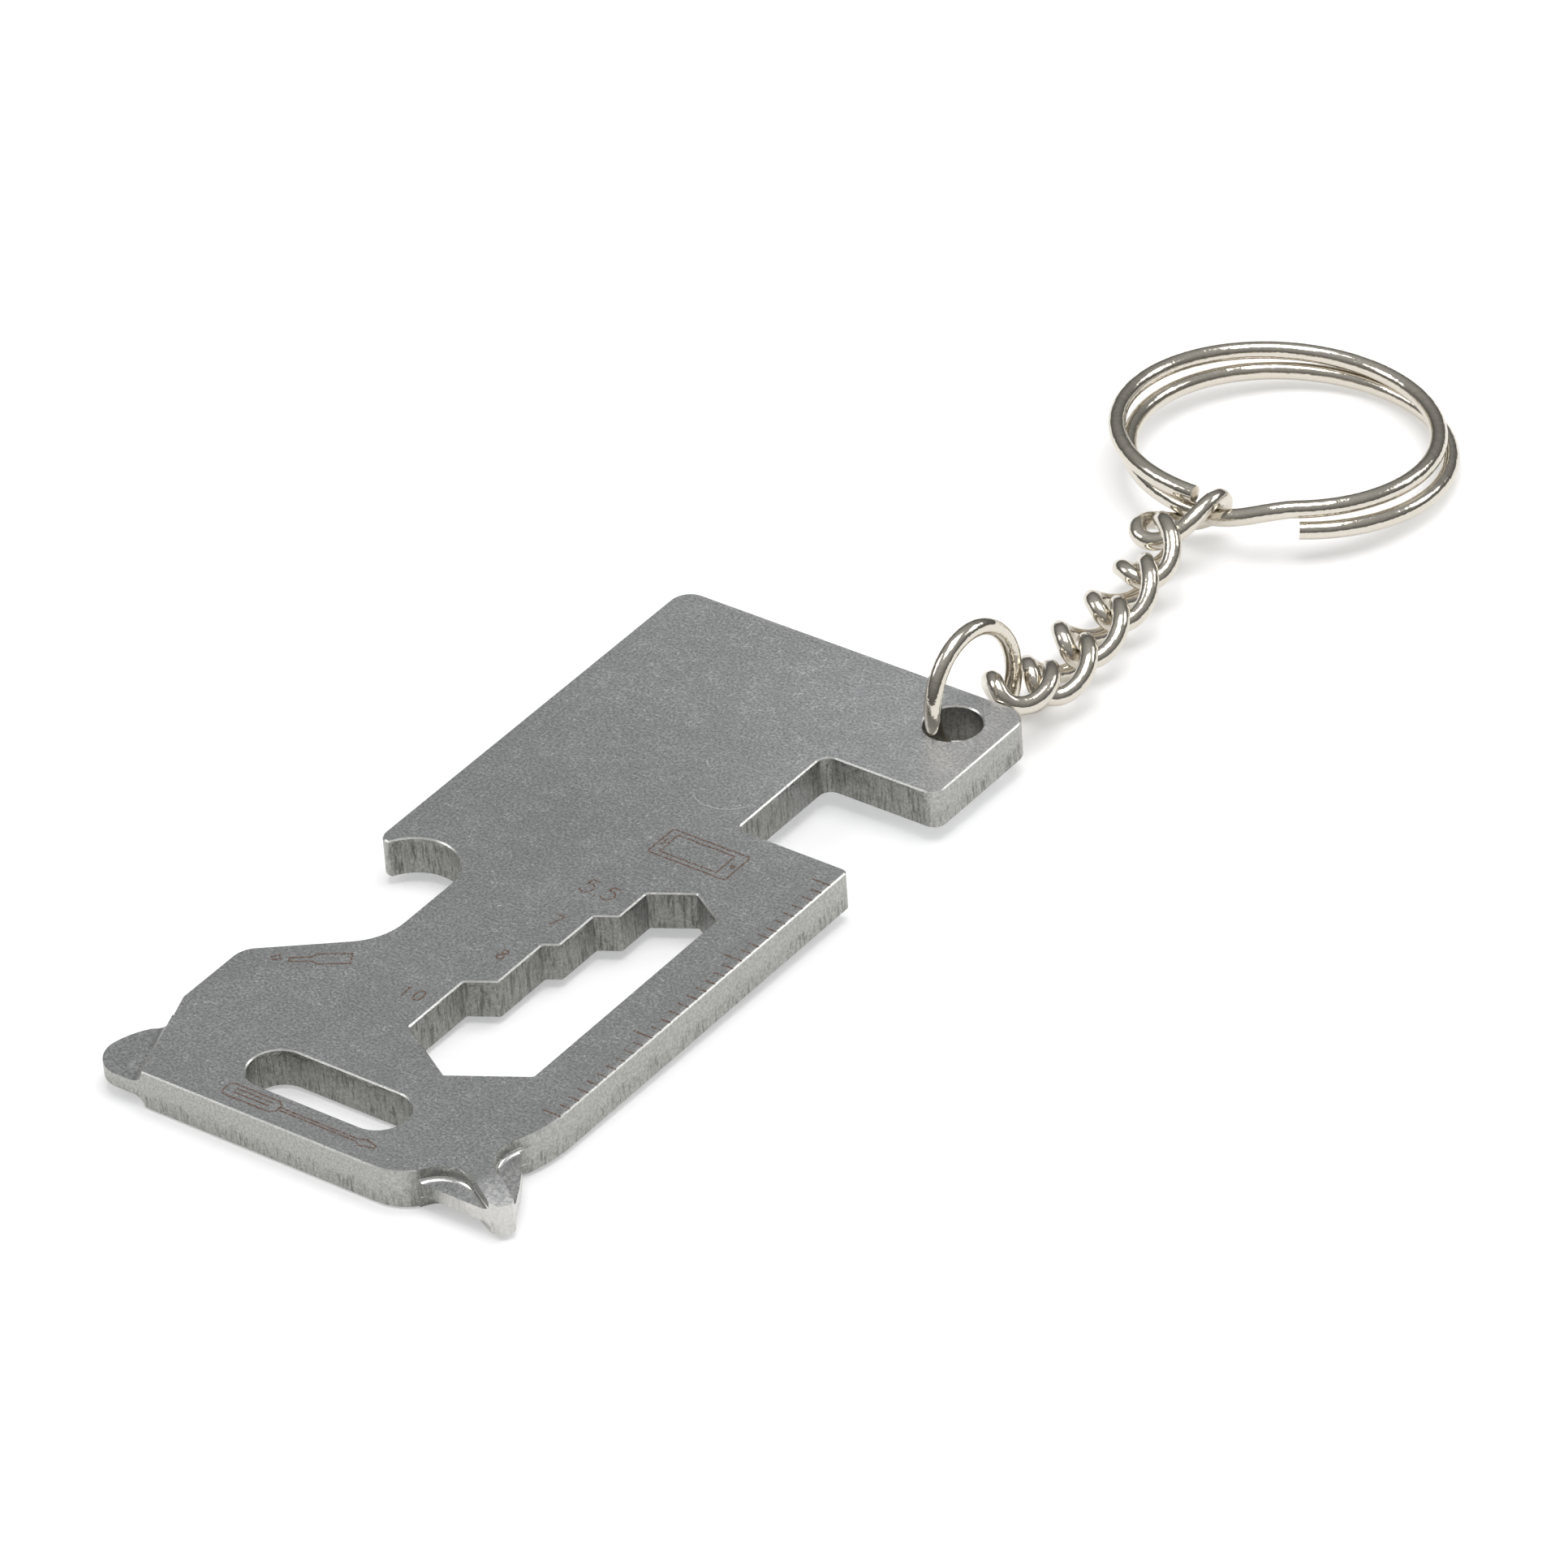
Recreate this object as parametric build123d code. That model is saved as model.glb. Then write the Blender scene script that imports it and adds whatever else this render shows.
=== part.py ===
"""Keychain bottle opener: a flat steel multi-tool on a curb chain with a split key ring.

Millimetres, +Z up, the table is Z = 0. The tool plate is drawn flat in its own plan
(x across, y from the screwdriver end to the chain end) and then leant on the jump ring.
"""
import os
from math import asin, cos, degrees, pi, radians, sin, sqrt, tan

from build123d import *

# ---- tool plate ----
plate_w = 29.64
plate_l = 64.11
plate_t = 3.0
edge_break = 0.1
far_left_r = 1.6
far_right_r = 1.7

# chain hole near the far right corner, and its clearance round the jump ring's wire
hole_clear = 1.49
hole_in_x = 3.95
hole_wall = 1.59

# phone slot in the right edge
slot_far_in = 11.26
slot_w = 10.13
slot_depth = 9.32

# bottle mouth in the left edge
mouth_depth = 7.5
mouth_y0 = 14.3
mouth_slope = 38.1
mouth_blend_r = 4.4
hook_r = 3.5
hook_y = 27.45
tooth_y = 29.15
tooth_r = 0.8

# stepped wrench opening, sizes across flats with a running clearance
wrench_sizes = (10.0, 8.0, 7.0, 5.5)
wrench_tops = (19.14, 25.2, 29.6, 33.54)
wrench_clear = 0.33
wrench_in_x = 4.26
wrench_y0 = 13.24
wrench_corner_r = 0.22

# lanyard slot
lanyard_x0 = 8.35
lanyard_x1 = 21.1
lanyard_y = 5.01
lanyard_w = 4.2

# flat blade at the front left corner
blade_top = 1.95
blade_bottom = 0.85
blade_start_x = 2.95
blade_reach = 1.7
blade_tip_y = 2.3
notch_x = 0.75
notch_y = 6.0

# cross tip at the front right corner
cross_angle = -30.0
cross_reach = 2.41
cross_tip_y = 1.4
cross_front_y = 1.15
cross_web_half = 0.5
cross_ridge_half = 0.8
cross_flute_len = 5.9
cross_flute_r = 2.65
cross_root_r = 0.4
cross_drop = 0.35

# ---- wire pieces ----
jump_wire_r = 0.62
jump_inner_r = 3.9
jump_gap = 0.06
link_wire_r = 0.65
link_twist = 69.0
last_twist = 40.0
ring_wire_r = 0.65
ring_r = 11.53
ring_coil_gap = 0.08
ring_low_swing = -5.27
ring_step_mid = 361.5
ring_step_wires = 10.216
ring_low_wires = 5.418
ring_high_wires = 6.656

# curb link proportions, in wire radii
link_half_len_wires = 5.277
link_half_w_wires = 3.231
link_flat_wires = 0.0923

# ---- how the pieces lie on the table ----
# The plate's far wall rests on the jump ring, which stands in the hole.
rest_gap = 0.0528
jump_foot = -0.1
jump_off_hole_x = -0.43
jump_off_edge_y = -0.67
jump_turn = (1.0, -5.2, -1.8)

# Link centres from the point where the first link bears on the jump ring, for links of
# lay_wire_r wire, and each link's turn about X, Y and Z.
lay_wire_r = 0.65
bear_from_jump = (0.35, 3.2, -2.23)
link_lays = (
    ((0.62, 1.28, 0.1), (-24.2, -27.6, 4.5)),
    ((0.85, 5.37, -0.43), (-8.2, -15.6, 5.7)),
    ((0.2, 10.35, -0.45), (-6.3, -18.7, 4.7)),
    ((-0.5, 15.44, -0.36), (1.6, -29.7, 8.6)),
    ((-1.69, 20.49, -0.25), (13.5, -46.5, 21.7)),
    ((-2.41, 25.17, -0.12), (-12.2, -29.2, -29.9)),
)
# Split ring: where its wire bears in the last link, from that link's centre, and the way
# from there to the ring's own centre.
ring_bear_from_last = (1.938, 1.622, -0.012)
ring_reach = (-2.47, 11.26, -0.187)
ring_turn = (-4.6, 1.77, -66.74)

# ---- derived ----
growth = link_wire_r / lay_wire_r
ring_step_span = degrees(ring_step_wires * link_wire_r / ring_r)
ring_step_start = ring_step_mid - ring_step_span / 2
ring_step_end = ring_step_mid + ring_step_span / 2
ring_low_start = ring_step_mid - 360 + degrees(ring_low_wires * link_wire_r / ring_r)
ring_high_end = ring_step_mid + 360 - degrees(ring_high_wires * link_wire_r / ring_r)
hole_r = jump_wire_r + hole_clear
hole_x = plate_w - hole_in_x
hole_y = plate_l - hole_wall - hole_r
slot_y0 = plate_l - slot_far_in - slot_w
cross_tip_x = plate_w + cross_reach
jump_ring_r = jump_inner_r + jump_wire_r
link_half_len = link_half_len_wires * link_wire_r
link_half_w = link_half_w_wires * link_wire_r
link_flat = link_flat_wires * link_wire_r
plate_pitch = degrees(asin((2 * jump_wire_r + rest_gap) / (plate_l - hole_wall / 2)))
wrench_x1 = plate_w - wrench_in_x
cross_dir = Vector(cos(radians(cross_angle)), sin(radians(cross_angle)), 0)
cross_side = Vector(-cross_dir.Y, cross_dir.X, 0)


def corner(sketch, x, y, radius):
    """Round the outline corner that lies at (x, y)."""
    vertex = min(sketch.vertices(), key=lambda v: (v.X - x) ** 2 + (v.Y - y) ** 2)
    return fillet(vertex, radius)


def plate_outline():
    """Outer outline of the plate with both driver tips, the mouth and the phone slot."""
    slot_x = plate_w - slot_depth
    slot_y1 = slot_y0 + slot_w
    neck_x = cross_tip_x - 6.95
    neck_start_x = neck_x - 2.8
    nose_x = cross_tip_x - 0.3
    nose_far_x = cross_tip_x + 0.15
    right_neck = (plate_w - 0.86, 7.15)
    diag_end_y = mouth_y0 + mouth_depth * tan(radians(mouth_slope))
    hook_x = mouth_depth - hook_r
    tooth_x = hook_x - sqrt(hook_r ** 2 - (tooth_y - hook_y) ** 2)
    with BuildSketch() as sketch:
        with BuildLine():
            Line((blade_start_x, 0), (neck_start_x, 0))
            TangentArc((neck_start_x, 0), (neck_x, cross_front_y), tangent=(1, 0))
            Line((neck_x, cross_front_y), (nose_x, cross_front_y))
            Line((nose_x, cross_front_y), (nose_far_x, 1.95))
            ThreePointArc((nose_far_x, 1.95), (cross_tip_x - 1.37, 4.75), (plate_w - 0.52, 6.85))
            Line((plate_w - 0.52, 6.85), right_neck)
            TangentArc((plate_w, 11.4), right_neck, tangent=(0, -1))
            Line((plate_w, 11.4), (plate_w, slot_y0))
            Line((plate_w, slot_y0), (slot_x, slot_y0))
            Line((slot_x, slot_y0), (slot_x, slot_y1))
            Line((slot_x, slot_y1), (plate_w, slot_y1))
            Line((plate_w, slot_y1), (plate_w, plate_l))
            Line((plate_w, plate_l), (0, plate_l))
            Line((0, plate_l), (0, tooth_y))
            Line((0, tooth_y), (tooth_x, tooth_y))
            ThreePointArc((tooth_x, tooth_y), (hook_x, hook_y + hook_r), (mouth_depth, hook_y))
            Line((mouth_depth, hook_y), (mouth_depth, diag_end_y))
            Line((mouth_depth, diag_end_y), (0, mouth_y0))
            Line((0, mouth_y0), (0, 8.0))
            Line((0, 8.0), (notch_x, notch_y))
            Line((notch_x, notch_y), (-0.45, 5.15))
            ThreePointArc((-0.45, 5.15), (-1.32, 3.7), (-blade_reach, blade_tip_y))
            ThreePointArc((-blade_reach, blade_tip_y), (-1.15, 0.82), (0.35, 0))
            Line((0.35, 0), (blade_start_x, 0))
        make_face()
    face = sketch.sketch
    rounds = (
        (plate_w, slot_y0, 0.5),
        (slot_x, slot_y0, 0.6),
        (slot_x, slot_y1, 0.9),
        (plate_w, slot_y1, 0.9),
        (plate_w, plate_l, far_right_r),
        (0, plate_l, far_left_r),
        (0, tooth_y, tooth_r),
        (mouth_depth, diag_end_y, mouth_blend_r),
        (0, mouth_y0, 2.0),
        (nose_x, cross_front_y, 0.2),
        (nose_far_x, 1.95, 0.2),
    )
    for x, y, radius in rounds:
        face = corner(face, x, y, radius)
    return face


def wrench_opening():
    """Four hexagon halves stacked along one straight wall."""
    lefts = [wrench_x1 - size - wrench_clear for size in wrench_sizes]
    rise = tan(radians(30))
    half_first = (wrench_x1 - lefts[0]) / 2
    half_last = (wrench_x1 - lefts[-1]) / 2
    points = [(wrench_x1 - half_first, wrench_y0 - half_first * rise), (wrench_x1, wrench_y0)]
    points.append((wrench_x1, wrench_tops[-1]))
    points.append((wrench_x1 - half_last, wrench_tops[-1] + half_last * rise))
    for index in range(len(lefts) - 1, 0, -1):
        step = lefts[index] - lefts[index - 1]
        points.append((lefts[index], wrench_tops[index]))
        points.append((lefts[index], wrench_tops[index - 1] + step * rise))
    points.append((lefts[0], wrench_tops[0]))
    points.append((lefts[0], wrench_y0))
    shape = Polygon(*points, align=None)
    return fillet(shape.vertices(), wrench_corner_r)


def blade_cut(face_z, blade_z):
    """Ground relief beside the flat blade, hollow where the wheel ran out."""
    depth = abs(face_z - blade_z)
    start = Vector(blade_start_x, 0, 0)
    along = (Vector(notch_x, notch_y, 0) - start).normalized()
    outward = Vector(-along.Y, along.X, 0)
    up = 1 if face_z > blade_z else -1
    plane = Plane(origin=start - along * 4, x_dir=outward, z_dir=along * -1)
    flip = plane.y_dir.Z * up
    with BuildSketch(plane) as profile:
        with BuildLine():
            Line((0, flip * (face_z * up + 2)), (6, flip * (face_z * up + 2)))
            Line((6, flip * (face_z * up + 2)), (6, flip * blade_z * up))
            Line((6, flip * blade_z * up), (depth, flip * blade_z * up))
            RadiusArc((depth, flip * blade_z * up), (0, flip * face_z * up), flip * depth)
            Line((0, flip * face_z * up), (0, flip * (face_z * up + 2)))
        make_face()
    return extrude(profile.sketch, amount=-14)


def cross_cuts():
    """Four flutes and the sloping ridge tops of the cross tip."""
    tip = Vector(cross_tip_x, cross_tip_y, 0)
    mid = plate_t / 2
    cuts = []
    for side in (-1, 1):
        for up in (-1, 1):
            floor = mid + up * cross_web_half
            plane = Plane(
                origin=tip + Vector(0, 0, floor), x_dir=cross_dir * -1, z_dir=(0, 0, up)
            )
            flip = side if plane.y_dir.dot(cross_side) > 0 else -side
            low, high = sorted((flip * cross_ridge_half, flip * 6.0))
            shape = Pos((cross_flute_len - 2) / 2, (low + high) / 2) * Rectangle(
                cross_flute_len + 2, high - low
            )
            shape = corner(shape, cross_flute_len, flip * cross_ridge_half, cross_flute_r)
            tool = extrude(plane * shape, amount=mid, dir=(0, 0, up))
            wall = tool.edges().filter_by_position(Axis.Z, floor - 0.01, floor + 0.01)
            inner = [
                e
                for e in wall
                if abs(abs((e.center() - tip).dot(cross_side)) - cross_ridge_half) < 0.01
                or e.geom_type == GeomType.CIRCLE
            ]
            cuts.append(fillet(inner, cross_root_r))
    for up in (-1, 1):
        plane = Plane(origin=tip + Vector(0, 0, mid), x_dir=cross_dir * -1, z_dir=cross_side)
        flip = up if plane.y_dir.Z > 0 else -up
        wedge = Polygon(
            (-1, flip * mid * 2),
            (-1, flip * (mid - cross_drop * 1.4)),
            (2.5, flip * mid),
            (2.5, flip * mid * 2),
            align=None,
        )
        cuts.append(extrude(plane * wedge, amount=2, both=True))
    return cuts


def on_driver_tip(point):
    """True where the relief cuts of the two tips take the plate's rim away."""
    on_blade = point.X < blade_start_x and point.Y < notch_y
    on_cross = point.X > cross_tip_x - 7.05 and point.Y < 7.1
    return on_blade or on_cross


def tool_plate():
    """The whole cut and ground plate, in its own plan."""
    face = plate_outline()
    face -= wrench_opening()
    lanyard = SlotOverall(lanyard_x1 - lanyard_x0, lanyard_w)
    face -= Pos((lanyard_x0 + lanyard_x1) / 2, lanyard_y) * lanyard
    face -= Pos(hole_x, hole_y) * Circle(hole_r)
    solid = extrude(face, plate_t)
    rims = solid.edges().group_by(Axis.Z)
    body_edges = [e for e in rims[0] + rims[-1] if not on_driver_tip(e.center())]
    solid = chamfer(body_edges, edge_break)
    solid -= blade_cut(plate_t, blade_top)
    solid -= blade_cut(0, blade_bottom)
    for cut in cross_cuts():
        solid -= cut
    return solid


def wire_along(path, radius):
    """Round wire swept along a path."""
    section = Plane(origin=path @ 0, z_dir=path % 0) * Circle(radius)
    return sweep(section, path=path)


def jump_ring():
    """Butt-closed ring of round wire standing in the YZ plane, its joint at the foot."""
    section = Plane.XZ * Pos(jump_ring_r, 0) * Circle(jump_wire_r)
    half_gap = degrees(jump_gap / 2 / jump_ring_r)
    ring = revolve(section, Axis.Z, 360 - 2 * half_gap)
    return Rot(0, 90, 0) * Rot(0, 0, half_gap) * ring


def link_point(angle, twist):
    """Centre line of a curb link: an oval whose two ends are twisted opposite ways."""
    lean = radians(twist) * cos(angle)
    across = link_half_w * sin(angle)
    return (across * cos(lean), link_half_len * cos(angle), across * sin(lean))


def curb_link(twist):
    """One link, length along Y, with the two ground flats of a curb chain."""
    points = [link_point(2 * pi * k / 24, twist) for k in range(24)]
    path = Edge.make_spline([Vector(*p) for p in points], periodic=True)
    link = wire_along(path.trim(0, 0.5), link_wire_r)
    link += wire_along(path.trim(0.5, 1), link_wire_r)
    top = link.bounding_box().max.Z - link_flat
    return link & Box(20, 20, 2 * top)


def split_ring():
    """Two turns of wire: a low turn, a step through the last link, then a high turn."""
    level = ring_wire_r + ring_coil_gap / 2

    def at(angle, height):
        turn = radians(angle)
        return Vector(ring_r * cos(turn), ring_r * sin(turn), height)

    def low_at(angle):
        """The low turn has slipped sideways, swung about the point where the step begins."""
        pivot = at(ring_step_start, -level)
        return pivot + (at(angle, -level) - pivot).rotate(Axis.Z, ring_low_swing)

    low_mid = (ring_low_start + ring_step_start) / 2
    high_mid = (ring_step_end + ring_high_end) / 2
    low = Edge.make_three_point_arc(
        low_at(ring_low_start), low_at(low_mid), low_at(ring_step_start)
    )
    high = Edge.make_three_point_arc(
        at(ring_step_end, level), at(high_mid, level), at(ring_high_end, level)
    )
    count = 6
    span = ring_step_end - ring_step_start
    heights = [-level * cos(pi * k / count) for k in range(count + 1)]
    points = [at(ring_step_start + span * k / count, heights[k]) for k in range(count + 1)]
    step = Edge.make_spline(points, tangents=[low % 1, high % 0])
    return wire_along(Wire([low, step, high]), ring_wire_r)


def lay_out():
    """Every piece in its resting place, keyed by node name."""
    pieces = {"tool_plate": Location((0, 0, 0), (plate_pitch, 0, 0)) * tool_plate()}
    jump_at = Vector(
        hole_x + jump_off_hole_x,
        plate_l + jump_off_edge_y,
        jump_foot + 2 * jump_wire_r + jump_inner_r,
    )
    pieces["jump_ring"] = Location(jump_at, jump_turn) * jump_ring()
    bear = jump_at + Vector(*bear_from_jump)
    chain_part = curb_link(link_twist)
    last_part = curb_link(last_twist)
    for index, (offset, turn) in enumerate(link_lays, start=1):
        part = chain_part if index < len(link_lays) else last_part
        last_at = bear + Vector(*offset) * growth
        pieces[f"chain_link_{index}"] = Location(last_at, turn) * part
    ring_bear = last_at + Vector(*ring_bear_from_last) * growth
    ring_at = ring_bear + Vector(*ring_reach).normalized() * ring_r
    pieces["split_ring"] = Location(ring_at, ring_turn) * split_ring()
    return pieces


if __name__ == "__main__":
    os.makedirs("parts", exist_ok=True)
    pieces = lay_out()
    boxes = [piece.bounding_box() for piece in pieces.values()]
    mid_x = (min(b.min.X for b in boxes) + max(b.max.X for b in boxes)) / 2
    mid_y = (min(b.min.Y for b in boxes) + max(b.max.Y for b in boxes)) / 2
    low_z = min(b.min.Z for b in boxes)
    shift = Location((-mid_x, -mid_y, -low_z))
    for name, piece in pieces.items():
        export_step(shift * piece, f"parts/{name}.step")
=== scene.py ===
"""Finishes, engravings and stage for a keychain bottle opener on a curb chain.

Metres throughout. The plate's own plan (x across, y from the screwdriver end) is in
millimetres, and plate_matrix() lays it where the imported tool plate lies.
"""

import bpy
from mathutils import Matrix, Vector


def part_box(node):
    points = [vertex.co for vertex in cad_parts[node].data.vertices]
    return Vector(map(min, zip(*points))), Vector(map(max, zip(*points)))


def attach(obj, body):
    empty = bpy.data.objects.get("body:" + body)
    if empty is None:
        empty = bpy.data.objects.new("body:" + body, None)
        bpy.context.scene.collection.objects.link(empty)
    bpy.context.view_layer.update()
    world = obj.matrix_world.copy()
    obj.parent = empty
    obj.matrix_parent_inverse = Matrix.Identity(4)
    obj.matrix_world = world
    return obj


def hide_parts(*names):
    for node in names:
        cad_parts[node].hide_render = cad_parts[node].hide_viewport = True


bl_info = {
    "name": "Keychain Bottle Opener",
    "version": (1, 0, 0),
    "blender": (4, 5, 0),
    "location": "View3D > Sidebar > Opener",
    "description": "Finishes, engravings and a studio stage for a keychain bottle opener",
    "category": "Object",
}

from math import cos, pi, radians, sin

import bmesh
import bpy
from mathutils import Matrix, Vector

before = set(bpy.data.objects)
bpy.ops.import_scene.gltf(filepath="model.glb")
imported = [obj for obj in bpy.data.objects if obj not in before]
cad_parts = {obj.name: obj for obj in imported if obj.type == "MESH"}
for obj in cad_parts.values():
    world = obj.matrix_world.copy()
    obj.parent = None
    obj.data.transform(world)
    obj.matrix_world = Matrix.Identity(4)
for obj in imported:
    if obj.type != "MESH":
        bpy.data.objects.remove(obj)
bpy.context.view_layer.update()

MM = 0.001
LINKS = [f"chain_link_{number}" for number in range(1, 7)]

# Where the plate's plan lies: it leans on the jump ring, so its far end is lifted.
PLATE_THICK = 3.0
PLATE_WIDTH = 29.64
PLATE_LENGTH = 64.11
PLATE_PITCH = radians(1.17)
BLADE_REACH = 1.7

# Ruler engraved along the right edge.
RULER_FIRST = 10.59
RULER_TICKS = 31
TICK_SHORT = 0.85
TICK_LONG = 1.5
TICK_INSET = 0.06

# Wrench sizes engraved beside their steps: text, x, y and height on the plate's plan.
SIZE_MARKS = (
    ("10", 12.1, 15.7, 1.25),
    ("8", 15.1, 22.3, 1.2),
    ("7", 15.8, 27.2, 1.35),
    ("5.5", 15.3, 31.5, 1.45),
)
PHONE_AT = (16.6, 37.4)
DRIVER_AT = (8.7, 0.95)

# Edges sharper than these stay hard on the plate and on the wire.
PLATE_SHARP = radians(28)
WIRE_SHARP = radians(40)

# Soft boxes: name, place, size and power.
SOFT_BOXES = (
    ("overhead softbox", (0.1, 0.1, 1.3), (0.9, 0.9), 8.0),
    ("left softbox", (-0.9, -0.5, 0.9), (0.6, 0.6), 2.5),
    ("back softbox", (0.6, 1.1, 0.8), (0.7, 0.5), 2.5),
)
# Studio grey from the horizon up: height and level.
STUDIO_GREYS = ((0.3, 0.19), (0.62, 0.34))
FLOOR_GLOW = 0.3

CAMERA_TARGET = (-0.0008, -0.00517, 0.0)
CAMERA_AZIMUTH = radians(-52.02)
CAMERA_ELEVATION = radians(34.247)
CAMERA_ROLL = radians(3.316)


def plate_matrix():
    """Plan millimetres of the tool plate to the row frame, top face at z = PLATE_THICK."""
    low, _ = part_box("tool_plate")
    origin = Vector((
        low.x + BLADE_REACH * MM,
        low.y + PLATE_THICK * MM * sin(PLATE_PITCH),
        low.z,
    ))
    return Matrix.Translation(origin) @ Matrix.Rotation(PLATE_PITCH, 4, "X") @ Matrix.Scale(MM, 4)


# ---------------------------------------------------------------- properties


class OpenerSteel(bpy.types.PropertyGroup):
    """The blasted tool plate."""

    color: bpy.props.FloatVectorProperty(
        name="Steel", description="Colour of the blasted faces", subtype="COLOR",
        size=3, min=0.0, max=1.0, default=(0.47, 0.475, 0.48),
    )
    side_color: bpy.props.FloatVectorProperty(
        name="Cut edge", description="Colour of the punched side walls", subtype="COLOR",
        size=3, min=0.0, max=1.0, default=(0.47, 0.47, 0.445),
    )
    roughness: bpy.props.FloatProperty(
        name="Roughness", description="Roughness of the blasted faces",
        min=0.05, max=1.0, default=0.42,
    )
    scratches: bpy.props.FloatProperty(
        name="Scratches", description="How strongly the handling scratches show",
        min=0.0, max=1.0, default=0.8,
    )
    ink: bpy.props.FloatVectorProperty(
        name="Engraving", description="Colour of the laser marks", subtype="COLOR",
        size=3, min=0.0, max=1.0, default=(0.19, 0.11, 0.07),
    )


class OpenerNickel(bpy.types.PropertyGroup):
    """The plated wire of the rings and the chain."""

    color: bpy.props.FloatVectorProperty(
        name="Nickel", description="Colour of the plating", subtype="COLOR",
        size=3, min=0.0, max=1.0, default=(0.7, 0.655, 0.575),
    )
    roughness: bpy.props.FloatProperty(
        name="Roughness", description="Roughness of the plating",
        min=0.02, max=1.0, default=0.11,
    )
    dents: bpy.props.FloatProperty(
        name="Waviness", description="Depth of the rippled plating",
        min=0.0, max=1.0, default=0.12,
    )


class OpenerMarks(bpy.types.PropertyGroup):
    """The laser engravings on the plate."""

    stroke: bpy.props.FloatProperty(
        name="Stroke", description="Width of a laser line", unit="LENGTH",
        min=0.00002, max=0.0005, default=0.00013,
    )
    height: bpy.props.FloatProperty(
        name="Burr", description="How far a laser line stands proud", unit="LENGTH",
        min=0.000002, max=0.0001, default=0.000008,
    )


class OpenerStage(bpy.types.PropertyGroup):
    """Floor, lights and camera."""

    floor_size: bpy.props.FloatProperty(
        name="Floor", description="Side of the floor", unit="LENGTH", min=0.2, default=3.0,
    )
    floor_color: bpy.props.FloatVectorProperty(
        name="Floor colour", description="Colour of the floor", subtype="COLOR",
        size=3, min=0.0, max=1.0, default=(0.93, 0.93, 0.935),
    )
    lens: bpy.props.FloatProperty(
        name="Lens", description="Focal length of the camera, in millimetres",
        min=20.0, default=232.3,
    )
    distance: bpy.props.FloatProperty(
        name="Distance", description="Camera to the point it looks at", unit="LENGTH",
        min=0.1, default=0.69536,
    )


# ---------------------------------------------------------------- node helpers


def new_material(name):
    """A cleared node material and its Principled shader."""
    material = bpy.data.materials.new(name)
    material.use_nodes = True
    tree = material.node_tree
    tree.nodes.clear()
    output = tree.nodes.new("ShaderNodeOutputMaterial")
    shader = tree.nodes.new("ShaderNodeBsdfPrincipled")
    tree.links.new(shader.outputs[0], output.inputs["Surface"])
    return material, tree, shader


def feed(tree, socket, value):
    """Set a socket from a number, a colour or another node's output."""
    if isinstance(value, bpy.types.NodeSocket):
        tree.links.new(value, socket)
    elif value is not None:
        socket.default_value = value


def math_node(tree, operation, first, second=None, third=None):
    node = tree.nodes.new("ShaderNodeMath")
    node.operation = operation
    for socket, value in zip(node.inputs, (first, second, third)):
        feed(tree, socket, value)
    return node.outputs[0]


def span(tree, value, low, high, to_low=0.0, to_high=1.0):
    """Smooth step of a value from low..high to to_low..to_high."""
    node = tree.nodes.new("ShaderNodeMapRange")
    node.interpolation_type = "SMOOTHSTEP"
    for socket, item in zip(node.inputs, (value, low, high, to_low, to_high)):
        feed(tree, socket, item)
    return node.outputs[0]


def blend_color(tree, factor, first, second, mode="MIX"):
    node = tree.nodes.new("ShaderNodeMix")
    node.data_type = "RGBA"
    node.blend_type = mode
    feed(tree, node.inputs[0], factor)
    feed(tree, node.inputs[6], first)
    feed(tree, node.inputs[7], second)
    return node.outputs[2]


def noise(tree, vector, scale, detail=3.0, roughness=0.55, distortion=0.0):
    node = tree.nodes.new("ShaderNodeTexNoise")
    feed(tree, node.inputs["Vector"], vector)
    for name, value in (
        ("Scale", scale), ("Detail", detail), ("Roughness", roughness), ("Distortion", distortion),
    ):
        feed(tree, node.inputs[name], value)
    return node.outputs["Fac"]


def mapping(tree, vector, location=(0, 0, 0), rotation=(0, 0, 0), scale=(1, 1, 1), kind="POINT"):
    node = tree.nodes.new("ShaderNodeMapping")
    node.vector_type = kind
    feed(tree, node.inputs["Vector"], vector)
    node.inputs["Location"].default_value = location
    node.inputs["Rotation"].default_value = rotation
    node.inputs["Scale"].default_value = scale
    return node.outputs[0]


def split(tree, vector):
    node = tree.nodes.new("ShaderNodeSeparateXYZ")
    feed(tree, node.inputs[0], vector)
    return node.outputs


def bump(tree, height, strength, distance, normal=None):
    node = tree.nodes.new("ShaderNodeBump")
    feed(tree, node.inputs["Height"], height)
    feed(tree, node.inputs["Strength"], strength)
    feed(tree, node.inputs["Distance"], distance)
    feed(tree, node.inputs["Normal"], normal)
    return node.outputs[0]


def new_group(name, inputs, outputs):
    """A shader group with named float or vector sockets: returns group, its inputs, its output node."""
    group = bpy.data.node_groups.new(name, "ShaderNodeTree")
    for socket, kind, default in inputs:
        made = group.interface.new_socket(socket, in_out="INPUT", socket_type=kind)
        if default is not None:
            made.default_value = default
    for socket in outputs:
        group.interface.new_socket(socket, in_out="OUTPUT", socket_type="NodeSocketFloat")
    entry = group.nodes.new("NodeGroupInput")
    return group, entry.outputs, group.nodes.new("NodeGroupOutput")


def use_group(tree, name, **values):
    node = tree.nodes.new("ShaderNodeGroup")
    node.node_tree = bpy.data.node_groups[name]
    for socket, value in values.items():
        feed(tree, node.inputs[socket], value)
    return node.outputs


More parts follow.
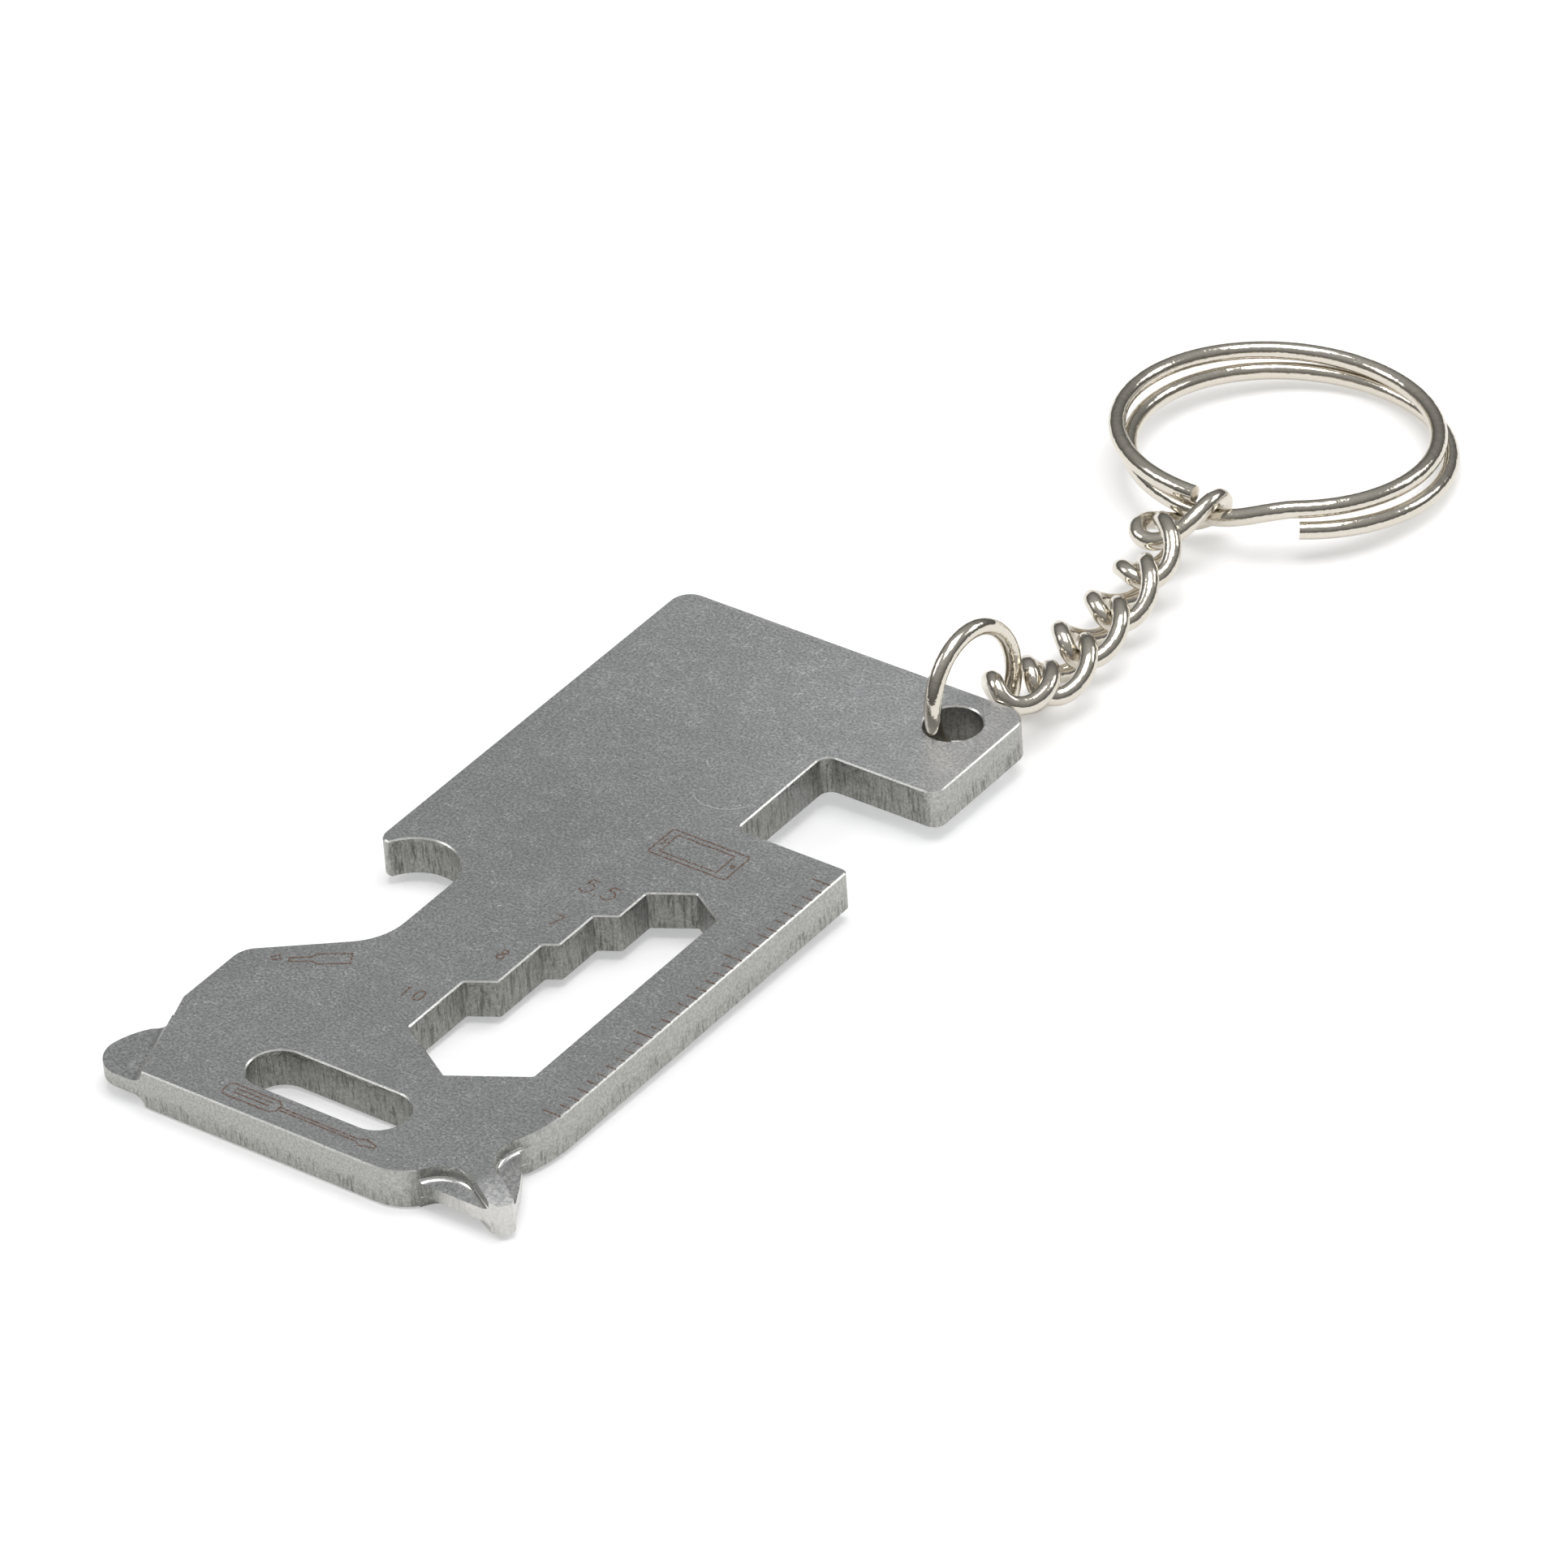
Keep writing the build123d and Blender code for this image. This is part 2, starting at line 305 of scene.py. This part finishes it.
def scratch_layer(group, vector, turn, stretch, density, width, keep):
    """Short straight marks in one direction: stretched cells, a few of them kept."""
    turned = mapping(group, vector, rotation=(0, 0, turn), scale=(density, density * stretch, density))
    cells = group.nodes.new("ShaderNodeTexVoronoi")
    cells.voronoi_dimensions = "2D"
    cells.inputs["Scale"].default_value = 1.0
    feed(group, cells.inputs["Vector"], turned)
    chance = split(group, cells.outputs["Color"])
    shape = span(group, cells.outputs["Distance"], width, width * 0.45)
    kept = math_node(group, "LESS_THAN", chance[0], keep)
    fade = math_node(group, "MULTIPLY_ADD", chance[1], 0.7, 0.3)
    return math_node(group, "MULTIPLY", math_node(group, "MULTIPLY", shape, kept), fade)


def scratches_group():
    """Handling marks: specks, short scratches in three directions, a few long ones."""
    group, entry, leave = new_group(
        "Handling Marks",
        (("Vector", "NodeSocketVector", None), ("Amount", "NodeSocketFloat", 0.5)),
        ("Mask",),
    )
    bent = group.nodes.new("ShaderNodeVectorMath")
    bent.operation = "MULTIPLY_ADD"
    wander = group.nodes.new("ShaderNodeTexNoise")
    wander.inputs["Scale"].default_value = 0.6
    feed(group, wander.inputs["Vector"], entry["Vector"])
    feed(group, bent.inputs[0], wander.outputs["Color"])
    bent.inputs[1].default_value = (1.6, 1.6, 0)
    feed(group, bent.inputs[2], entry["Vector"])
    flat = bent.outputs[0]
    layers = (
        (0.4, 1.0, 1.5, 0.11, 0.55),
        (1.1, 1.2, 3.1, 0.15, 0.3),
        (0.3, 7.0, 0.55, 0.10, 0.32),
        (1.3, 6.0, 0.75, 0.09, 0.3),
        (2.2, 8.0, 0.5, 0.10, 0.35),
        (2.75, 14.0, 0.22, 0.09, 0.22),
        (0.9, 16.0, 0.2, 0.08, 0.2),
    )
    total = None
    for turn, stretch, density, width, keep in layers:
        chance = math_node(group, "MULTIPLY", entry["Amount"], keep)
        mark = scratch_layer(group, flat, turn, stretch, density, width, chance)
        total = mark if total is None else math_node(group, "MAXIMUM", total, mark)
    feed(group, leave.inputs["Mask"], total)
    return group


def blasted_group():
    """Bead-blasted grain: fine pits over slow cloudy variation."""
    group, entry, leave = new_group(
        "Blasted Grain",
        (("Vector", "NodeSocketVector", None), ("Scale", "NodeSocketFloat", 6.0)),
        ("Cloud", "Grain"),
    )
    feed(group, leave.inputs["Cloud"], noise(group, entry["Vector"], 0.16, 4.0, 0.6))
    fine = noise(group, entry["Vector"], entry["Scale"], 2.0, 0.7)
    feed(group, leave.inputs["Grain"], fine)
    return group


def wire_group():
    """Drawn and plated wire: soft ripples, a fine haze and a few dull spots."""
    group, entry, leave = new_group(
        "Plated Wire",
        (("Vector", "NodeSocketVector", None), ("Scale", "NodeSocketFloat", 1.0)),
        ("Ripple", "Haze", "Pits"),
    )
    scaled = group.nodes.new("ShaderNodeVectorMath")
    scaled.operation = "SCALE"
    feed(group, scaled.inputs[0], entry["Vector"])
    feed(group, scaled.inputs["Scale"], entry["Scale"])
    feed(group, leave.inputs["Ripple"], noise(group, scaled.outputs[0], 1.1, 3.0, 0.5, 0.4))
    feed(group, leave.inputs["Haze"], noise(group, scaled.outputs[0], 5.0, 4.0, 0.65))
    cells = group.nodes.new("ShaderNodeTexVoronoi")
    cells.inputs["Scale"].default_value = 2.4
    feed(group, cells.inputs["Vector"], scaled.outputs[0])
    chance = split(group, cells.outputs["Color"])
    spot = span(group, cells.outputs["Distance"], 0.16, 0.05)
    feed(group, leave.inputs["Pits"], math_node(
        group, "MULTIPLY", spot, math_node(group, "LESS_THAN", chance[0], 0.3)
    ))
    return group


# ---------------------------------------------------------------- materials


def plan_vector(tree):
    """Object coordinates turned into the plate's own plan, in millimetres."""
    coordinate = tree.nodes.new("ShaderNodeTexCoord")
    place = plate_matrix()
    return mapping(
        tree, coordinate.outputs["Object"], location=place.to_translation(),
        rotation=(PLATE_PITCH, 0, 0), scale=(MM, MM, MM), kind="TEXTURE",
    ), coordinate.outputs["Normal"]


def near(tree, vector, point, inner, outer):
    """1 within inner millimetres of a plan point, 0 past outer."""
    node = tree.nodes.new("ShaderNodeVectorMath")
    node.operation = "DISTANCE"
    feed(tree, node.inputs[0], vector)
    node.inputs[1].default_value = point
    return span(tree, node.outputs["Value"], outer, inner)


def arc_scratch(tree, vector, centre, radius, width, point, reach):
    """One long fine scratch along part of a circle, fading away from a point on it."""
    node = tree.nodes.new("ShaderNodeVectorMath")
    node.operation = "DISTANCE"
    feed(tree, node.inputs[0], vector)
    node.inputs[1].default_value = centre
    off = math_node(tree, "ABSOLUTE", math_node(tree, "SUBTRACT", node.outputs["Value"], radius))
    line = span(tree, off, width, width * 0.3)
    return math_node(tree, "MULTIPLY", line, near(tree, vector, point, reach * 0.55, reach))


def steel_material(steel):
    """Blasted faces, broken edges with a painted highlight and punched side walls of the plate,
    darkened inside the openings with painted shade.
    """
    material, tree, shader = new_material("Blasted Steel")
    vector, normal = plan_vector(tree)
    up = split(tree, normal)[2]
    flatness = math_node(tree, "ABSOLUTE", up)
    face = span(tree, flatness, 0.9, 0.97)
    wall = span(tree, flatness, 0.45, 0.25)
    across, along, height = split(tree, vector)

    blasted = use_group(tree, "Blasted Grain", Vector=vector, Scale=5.0)
    cloud, grain = blasted["Cloud"], blasted["Grain"]
    far_wear = span(tree, along, 30.0, 66.0, 0.35, 1.0)
    marks = use_group(tree, "Handling Marks", Vector=vector, Amount=far_wear)["Mask"]
    arc = arc_scratch(
        tree, vector, (17.05, 46.37, PLATE_THICK), 2.6, 0.06, (17.6, 43.8, PLATE_THICK), 2.9,
    )
    marks = math_node(tree, "MAXIMUM", marks, arc)
    marks = math_node(tree, "MULTIPLY", marks, steel.scratches)

    tone = span(tree, cloud, 0.3, 0.7, 0.96, 1.03)
    speckle = span(tree, grain, 0.32, 0.68, 0.78, 1.2)
    tone = math_node(tree, "MULTIPLY", tone, speckle)
    brushed = near(tree, vector, (PLATE_WIDTH, PLATE_LENGTH - 6.0, PLATE_THICK), 2.0, 26.0)
    rubbed = span(tree, along, 34.0, 66.0, 1.0, 1.2)
    tone = math_node(tree, "MULTIPLY", tone, math_node(tree, "MULTIPLY_ADD", brushed, 0.22, rubbed))
    base = blend_color(tree, 1.0, (*steel.color, 1), tone, "MULTIPLY")
    worn_edge = span(tree, across, PLATE_WIDTH - 0.5, PLATE_WIDTH - 0.12)
    worn_far = span(tree, along, PLATE_LENGTH - 0.55, PLATE_LENGTH - 0.05)
    rub = noise(tree, vector, 3.5, 4.0, 0.7)
    worn = math_node(tree, "MAXIMUM", math_node(tree, "MULTIPLY", worn_edge, 0.6), worn_far)
    worn = math_node(tree, "MULTIPLY", worn, span(tree, rub, 0.42, 0.6))
    bright = math_node(tree, "MAXIMUM", marks, math_node(tree, "MULTIPLY", worn, 0.6))
    face_color = blend_color(tree, bright, base, (0.95, 0.94, 0.91, 1))

    # Side walls: smooth burnished band above, torn vertical streaks below.
    streaks = noise(tree, mapping(tree, vector, scale=(4.5, 4.5, 0.6)), 1.0, 5.0, 0.75, 0.3)
    rim = math_node(tree, "MINIMUM", across, math_node(tree, "SUBTRACT", PLATE_WIDTH, across))
    ends = math_node(tree, "MINIMUM", along, math_node(tree, "SUBTRACT", PLATE_LENGTH, along))
    inner = span(tree, math_node(tree, "MINIMUM", rim, ends), 0.4, 1.2)
    torn_line = math_node(tree, "MULTIPLY_ADD", noise(tree, vector, 0.8, 3.0, 0.6), 2.6, -0.3)
    torn_line = math_node(tree, "MULTIPLY_ADD", inner, 1.6, torn_line)
    below = span(tree, height, math_node(tree, "ADD", torn_line, 0.5), torn_line)
    pit = math_node(tree, "MULTIPLY", span(tree, streaks, 0.53, 0.36), below)
    # Painted shade: the walls inside the openings are darkened by the inner mask, on top of the grain
    # speckle.
    grain_and_painted_inner_shade = math_node(tree, "MULTIPLY", speckle, math_node(tree, "MULTIPLY_ADD", inner, -0.27, 0.9))
    wall_base = blend_color(tree, 1.0, (*steel.side_color, 1), grain_and_painted_inner_shade, "MULTIPLY")
    torn = math_node(tree, "MULTIPLY", pit, 0.4)
    wall_color = blend_color(tree, torn, wall_base, (0.09, 0.09, 0.08, 1))
    # Painted highlight: the chamfered edges between face and wall take a near-white colour.
    face_and_edge_highlight_color = blend_color(tree, face, (0.86, 0.86, 0.84, 1), face_color)
    color = blend_color(tree, wall, face_and_edge_highlight_color, wall_color)

    # Ground and polished tips.
    cross = near(tree, vector, (31.0, 2.6, PLATE_THICK / 2), 3.6, 5.2)
    polish = math_node(tree, "MULTIPLY", cross, math_node(tree, "SUBTRACT", 1.0, face))
    color = blend_color(tree, math_node(tree, "MULTIPLY", polish, 0.55), color, (0.74, 0.73, 0.7, 1))
    feed(tree, shader.inputs["Base Color"], color)
    shader.inputs["Metallic"].default_value = 1.0

    rough = math_node(tree, "MULTIPLY_ADD", grain, 0.22, steel.roughness - 0.11)
    rough = math_node(tree, "MULTIPLY_ADD", pit, 0.25, rough)
    edge = math_node(tree, "SUBTRACT", 1.0, math_node(tree, "MAXIMUM", face, wall))
    rough = math_node(tree, "MULTIPLY_ADD", edge, -0.12, rough)
    rough = math_node(tree, "MULTIPLY_ADD", polish, -0.2, rough)
    feed(tree, shader.inputs["Roughness"], rough)

    relief = math_node(tree, "MULTIPLY_ADD", marks, -0.6, grain)
    fine = bump(tree, relief, 0.22, 0.00004)
    wall_relief = math_node(tree, "MULTIPLY", math_node(tree, "MULTIPLY", streaks, below), wall)
    feed(tree, shader.inputs["Normal"], bump(tree, wall_relief, 0.6, 0.00012, fine))
    return material


def nickel_material(name, nickel, ground):
    """Bright nickel plate on wire; ground links are a little duller on their flats."""
    material, tree, shader = new_material(name)
    coordinate = tree.nodes.new("ShaderNodeTexCoord")
    vector = mapping(tree, coordinate.outputs["Object"], scale=(1 / MM, 1 / MM, 1 / MM))
    wire = use_group(tree, "Plated Wire", Vector=vector, Scale=1.0)
    haze = span(tree, wire["Haze"], 0.4, 0.8)
    tint = blend_color(tree, haze, (*nickel.color, 1), (*[c * 0.93 for c in nickel.color], 1))
    pits = math_node(tree, "MULTIPLY", wire["Pits"], 0.45)
    feed(tree, shader.inputs["Base Color"], blend_color(tree, pits, tint, (0.25, 0.22, 0.18, 1)))
    shader.inputs["Metallic"].default_value = 1.0
    low = nickel.roughness + (0.03 if ground else 0.0)
    rough = math_node(tree, "MULTIPLY_ADD", haze, 0.06, low)
    feed(tree, shader.inputs["Roughness"], math_node(tree, "MULTIPLY_ADD", pits, 0.3, rough))
    ripple = bump(tree, wire["Ripple"], nickel.dents, 0.0004)
    depth = math_node(tree, "SUBTRACT", wire["Haze"], wire["Pits"])
    feed(tree, shader.inputs["Normal"], bump(tree, depth, 0.05, 0.00003, ripple))
    return material


def ink_material(steel):
    """Brown oxide of the laser lines, patchy where the blasted grain breaks it up."""
    material, tree, shader = new_material("Laser Oxide")
    vector, _ = plan_vector(tree)
    grain = noise(tree, vector, 7.0, 3.0, 0.7)
    patch = span(tree, grain, 0.46, 0.62)
    bare = math_node(tree, "MULTIPLY", patch, 0.7)
    color = blend_color(tree, bare, (*steel.ink, 1), (*steel.color, 1))
    feed(tree, shader.inputs["Base Color"], color)
    shader.inputs["Metallic"].default_value = 0.6
    feed(tree, shader.inputs["Roughness"], math_node(tree, "MULTIPLY_ADD", grain, 0.2, 0.4))
    feed(tree, shader.inputs["Normal"], bump(tree, grain, 0.3, 0.00003))
    return material


# ---------------------------------------------------------------- meshes


def finish_mesh(name, made, material, body):
    """Put a bmesh in the scene as a piece that rides on a body."""
    mesh = bpy.data.meshes.new(name)
    made.to_mesh(mesh)
    made.free()
    mesh.materials.append(material)
    piece = bpy.data.objects.new(name, mesh)
    bpy.context.scene.collection.objects.link(piece)
    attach(piece, body)
    return piece


def smooth_copy(node, name, material, sharp_angle):
    """A welded copy of a CAD node, smooth except at its real edges."""
    made = bmesh.new()
    made.from_mesh(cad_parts[node].data)
    bmesh.ops.remove_doubles(made, verts=made.verts, dist=1e-7)
    for face in made.faces:
        face.smooth = True
        face.material_index = 0
    for edge in made.edges:
        edge.smooth = len(edge.link_faces) == 2 and edge.calc_face_angle(0.0) < sharp_angle
    bmesh.ops.recalc_face_normals(made, faces=made.faces)
    piece = finish_mesh(name, made, material, node)
    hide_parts(node)
    return piece


def stroke_into(made, points, closed, width, height):
    """One engraved line in plan millimetres: its path is stood up and thickened to the line's width."""
    verts = [made.verts.new((x, y, PLATE_THICK - height)) for x, y in points]
    pairs = list(zip(verts, verts[1:])) + ([(verts[-1], verts[0])] if closed else [])
    edges = [made.edges.new(pair) for pair in pairs]
    raised = bmesh.ops.extrude_edge_only(made, edges=edges)["geom"]
    top = [item for item in raised if isinstance(item, bmesh.types.BMVert)]
    bmesh.ops.translate(made, verts=top, vec=(0, 0, 2 * height))
    walls = [item for item in raised if isinstance(item, bmesh.types.BMFace)]
    bmesh.ops.recalc_face_normals(made, faces=walls)
    bmesh.ops.solidify(made, geom=walls + edges + verts, thickness=width)


def engraving(name, strokes, marks, material):
    """A set of strokes as one piece on the plate: each stroke is (points, closed)."""
    made = bmesh.new()
    for points, closed in strokes:
        stroke_into(made, points, closed, marks.stroke / MM, marks.height / MM)
    bmesh.ops.recalc_face_normals(made, faces=made.faces)
    bmesh.ops.transform(made, matrix=plate_matrix(), verts=made.verts)
    return finish_mesh(name, made, material, "tool_plate")


def arc_points(x, y, radius, start, end, count=10):
    return [
        (
            x + radius * cos(start + (end - start) * k / count),
            y + radius * sin(start + (end - start) * k / count),
        )
        for k in range(count + 1)
    ]


def placed(points, x, y, size, turn=0.0):
    """Scale, turn and move a stroke drawn on a unit-high grid."""
    c, s = cos(turn), sin(turn)
    return [(x + size * (c * px - s * py), y + size * (s * px + c * py)) for px, py in points]


def digit_strokes(digit):
    """Strokes of a plain digit, one unit high."""
    ring = arc_points(0.3, 0.5, 1, 0, 2 * pi, 20)[:-1]
    shapes = {
        "0": [([(0.3 + (px - 0.3) * 0.3, 0.5 + (py - 0.5) * 0.5) for px, py in ring], True)],
        "1": [([(0.12, 0.78), (0.32, 1.0), (0.32, 0.0)], False)],
        "5": [
            (
                [(0.56, 1.0), (0.12, 1.0), (0.08, 0.58)]
                + arc_points(0.27, 0.32, 0.31, radians(115), radians(-150)),
                False,
            )
        ],
        "7": [([(0.05, 1.0), (0.58, 1.0), (0.22, 0.0)], False)],
        "8": [
            (arc_points(0.3, 0.76, 0.23, 0, 2 * pi, 12)[:-1], True),
            (arc_points(0.3, 0.27, 0.27, 0, 2 * pi, 12)[:-1], True),
        ],
        ".": [([(0.08, 0.0), (0.16, 0.0)], False)],
    }
    return shapes[digit]


def number_strokes(text, x, y, size):
    strokes = []
    for digit in text:
        for points, closed in digit_strokes(digit):
            strokes.append((placed(points, x, y, size), closed))
        x += size * (0.38 if digit == "." else 0.82)
    return strokes


def ruler_strokes():
    """31 ticks a millimetre apart, every tenth one long."""
    strokes = []
    for index in range(RULER_TICKS):
        reach = TICK_LONG if index % 10 == 0 else TICK_SHORT
        y = RULER_FIRST + index
        strokes.append(([(PLATE_WIDTH - TICK_INSET - reach, y), (PLATE_WIDTH - TICK_INSET, y)], False))
    return strokes


def bottle_strokes():
    """Outline of a bottle lying beside the mouth, and its cap lifting off."""
    body = [
        (0.0, 0.28), (1.5, 0.3), (2.0, 0.62), (4.3, 0.62),
        (4.3, -0.62), (2.0, -0.62), (1.5, -0.3), (0.0, -0.28),
    ]
    cap = [(-0.5, 0.62), (-1.15, 0.4), (-0.98, -0.1), (-0.32, 0.1)]
    turn = radians(33)
    return [(placed(body, 3.5, 14.95, 1.0, turn), True), (placed(cap, 3.4, 14.9, 1.0, turn), True)]


def phone_strokes():
    """Outline of a phone with its screen, button and speaker."""
    phone = [
        (0.0, 0.2), (0.2, 0.0), (6.4, 0.0), (6.6, 0.2),
        (6.6, 2.9), (6.4, 3.1), (0.2, 3.1), (0.0, 2.9),
    ]
    screen = [(0.7, 0.42), (5.6, 0.42), (5.6, 2.68), (0.7, 2.68)]
    button = arc_points(6.1, 1.55, 0.2, 0, 2 * pi, 10)[:-1]
    speaker = [(0.35, 1.2), (0.35, 1.9)]
    return [
        (placed(phone, *PHONE_AT, 1.0), True),
        (placed(screen, *PHONE_AT, 1.0), True),
        (placed(button, *PHONE_AT, 1.0), True),
        (placed(speaker, *PHONE_AT, 1.0), False),
    ]


def driver_strokes():
    """A screwdriver drawn along the front edge."""
    grip = [
        (0.0, 0.25), (0.35, 0.0), (4.2, 0.0), (4.6, 0.35),
        (4.6, 1.05), (4.2, 1.4), (0.35, 1.4), (0.0, 1.15),
    ]
    shaft = [
        (4.6, 0.5), (10.9, 0.5), (11.6, 0.25), (12.6, 0.55),
        (12.6, 0.85), (11.6, 1.15), (10.9, 0.9), (4.6, 0.9),
    ]
    flutes = [[(0.8, level), (3.8, level)] for level in (0.5, 0.9)]
    strokes = [(placed(grip, *DRIVER_AT, 1.0), True), (placed(shaft, *DRIVER_AT, 1.0), False)]
    return strokes + [(placed(line, *DRIVER_AT, 1.0), False) for line in flutes]


# ---------------------------------------------------------------- operators


class OPENER_OT_plate(bpy.types.Operator):
    """Give the tool plate its blasted faces, edges with a painted highlight and torn side walls with
    painted shade inside the openings
    """

    bl_idname = "opener.plate"
    bl_label = "Tool plate"

    def execute(self, context):
        blasted_group()
        scratches_group()
        material = steel_material(context.scene.opener_steel)
        smooth_copy("tool_plate", "blasted_plate", material, PLATE_SHARP)
        return {"FINISHED"}


class OPENER_OT_wire(bpy.types.Operator):
    """Plate the jump ring, the chain links and the split ring"""

    bl_idname = "opener.wire"
    bl_label = "Rings and chain"

    def execute(self, context):
        wire_group()
        nickel = context.scene.opener_nickel
        ring = nickel_material("Nickel Ring Wire", nickel, False)
        chain = nickel_material("Nickel Chain Wire", nickel, True)
        smooth_copy("jump_ring", "plated_jump_ring", ring, WIRE_SHARP)
        smooth_copy("split_ring", "plated_split_ring", ring, WIRE_SHARP)
        for node in LINKS:
            smooth_copy(node, f"plated_{node}", chain, WIRE_SHARP)
        return {"FINISHED"}


class OPENER_OT_marks(bpy.types.Operator):
    """Engrave the ruler, the wrench sizes and the small pictures"""

    bl_idname = "opener.marks"
    bl_label = "Engravings"

    def execute(self, context):
        marks = context.scene.opener_marks
        ink = ink_material(context.scene.opener_steel)
        engraving("ruler_ticks", ruler_strokes(), marks, ink)
        strokes = []
        for text, x, y, size in SIZE_MARKS:
            strokes += number_strokes(text, x, y, size)
        engraving("wrench_size_numbers", strokes, marks, ink)
        engraving("bottle_picture", bottle_strokes(), marks, ink)
        engraving("phone_picture", phone_strokes(), marks, ink)
        engraving("screwdriver_picture", driver_strokes(), marks, ink)
        return {"FINISHED"}


def area_light(name, location, size, power):
    """A soft box that points at the middle of the floor."""
    light = bpy.data.lights.new(name, "AREA")
    light.shape = "RECTANGLE"
    light.size, light.size_y = size
    light.energy = power
    item = bpy.data.objects.new(name, light)
    item.location = location
    item.rotation_euler = (-Vector(location)).to_track_quat("-Z", "Y").to_euler()
    bpy.context.scene.collection.objects.link(item)


def studio_world():
    """Grey studio: dim near the horizon, brighter overhead."""
    world = bpy.data.worlds.new("Studio")
    world.use_nodes = True
    tree = world.node_tree
    tree.nodes.clear()
    output = tree.nodes.new("ShaderNodeOutputWorld")
    background = tree.nodes.new("ShaderNodeBackground")
    coordinate = tree.nodes.new("ShaderNodeTexCoord")
    height = split(tree, coordinate.outputs["Generated"])[2]
    ramp = tree.nodes.new("ShaderNodeValToRGB")
    feed(tree, ramp.inputs[0], height)
    ramp.color_ramp.elements[0].position = 0.0
    ramp.color_ramp.elements[0].color = (0.09, 0.088, 0.082, 1)
    ramp.color_ramp.elements[1].position = 1.0
    ramp.color_ramp.elements[1].color = (0.5, 0.5, 0.5, 1)
    for position, level in STUDIO_GREYS:
        element = ramp.color_ramp.elements.new(position)
        element.color = (level, level, level * 0.99, 1)
    feed(tree, background.inputs["Color"], ramp.outputs[0])
    background.inputs["Strength"].default_value = 1.0
    tree.links.new(background.outputs[0], output.inputs["Surface"])
    return world


class OPENER_OT_stage(bpy.types.Operator):
    """Lay the floor, light it softly and place the camera"""

    bl_idname = "opener.stage"
    bl_label = "Stage"

    def execute(self, context):
        stage = context.scene.opener_stage
        made = bmesh.new()
        bmesh.ops.create_grid(made, x_segments=4, y_segments=4, size=stage.floor_size / 2)
        mesh = bpy.data.meshes.new("floor")
        made.to_mesh(mesh)
        made.free()
        material, tree, shader = new_material("Paper Sweep")
        coordinate = tree.nodes.new("ShaderNodeTexCoord")
        fibre = noise(tree, coordinate.outputs["Object"], 900.0, 3.0, 0.6)
        tone = span(tree, fibre, 0.3, 0.7, 0.985, 1.0)
        paper = blend_color(tree, 1.0, (*stage.floor_color, 1), tone, "MULTIPLY")
        feed(tree, shader.inputs["Base Color"], paper)
        shader.inputs["Roughness"].default_value = 0.9
        shader.inputs["Specular IOR Level"].default_value = 0.1
        shader.inputs["Emission Color"].default_value = (1, 1, 1, 1)
        shader.inputs["Emission Strength"].default_value = FLOOR_GLOW
        mesh.materials.append(material)
        floor = bpy.data.objects.new("floor", mesh)
        context.scene.collection.objects.link(floor)
        context.scene.world = studio_world()
        for name, location, size, power in SOFT_BOXES:
            area_light(name, location, size, power)

        camera = bpy.data.objects.new("camera", bpy.data.cameras.new("camera"))
        context.scene.collection.objects.link(camera)
        camera.data.lens = stage.lens
        camera.data.sensor_width = 36.0
        camera.data.clip_start = 0.01
        away = Vector((
            cos(CAMERA_AZIMUTH) * cos(CAMERA_ELEVATION),
            sin(CAMERA_AZIMUTH) * cos(CAMERA_ELEVATION),
            sin(CAMERA_ELEVATION),
        ))
        facing = (-away).to_track_quat("-Z", "Y").to_matrix().to_4x4()
        camera.matrix_world = (
            Matrix.Translation(Vector(CAMERA_TARGET) + away * stage.distance)
            @ facing
            @ Matrix.Rotation(-CAMERA_ROLL, 4, "Z")
        )
        context.scene.camera = camera
        context.scene.view_settings.view_transform = "Standard"
        return {"FINISHED"}


class OPENER_PT_panel(bpy.types.Panel):
    bl_label = "Bottle opener"
    bl_idname = "OPENER_PT_panel"
    bl_space_type = "VIEW_3D"
    bl_region_type = "UI"
    bl_category = "Opener"

    def draw(self, context):
        groups = (
            (OPENER_OT_plate, context.scene.opener_steel),
            (OPENER_OT_wire, context.scene.opener_nickel),
            (OPENER_OT_marks, context.scene.opener_marks),
            (OPENER_OT_stage, context.scene.opener_stage),
        )
        for operator, settings in groups:
            box = self.layout.box()
            for item in settings.bl_rna.properties:
                if item.identifier not in {"rna_type", "name"}:
                    box.prop(settings, item.identifier)
            box.operator(operator.bl_idname)


SETTINGS = {
    "opener_steel": OpenerSteel,
    "opener_nickel": OpenerNickel,
    "opener_marks": OpenerMarks,
    "opener_stage": OpenerStage,
}
OPERATORS = (OPENER_OT_plate, OPENER_OT_wire, OPENER_OT_marks, OPENER_OT_stage)


def register():
    for item in (*SETTINGS.values(), *OPERATORS, OPENER_PT_panel):
        bpy.utils.register_class(item)
    for name, settings in SETTINGS.items():
        setattr(bpy.types.Scene, name, bpy.props.PointerProperty(type=settings))


def unregister():
    for name in SETTINGS:
        delattr(bpy.types.Scene, name)
    for item in reversed((*SETTINGS.values(), *OPERATORS, OPENER_PT_panel)):
        bpy.utils.unregister_class(item)


def main():
    register()
    bpy.ops.opener.plate()
    bpy.ops.opener.wire()
    bpy.ops.opener.marks()
    bpy.ops.opener.stage()


if __name__ == "__main__":
    main()
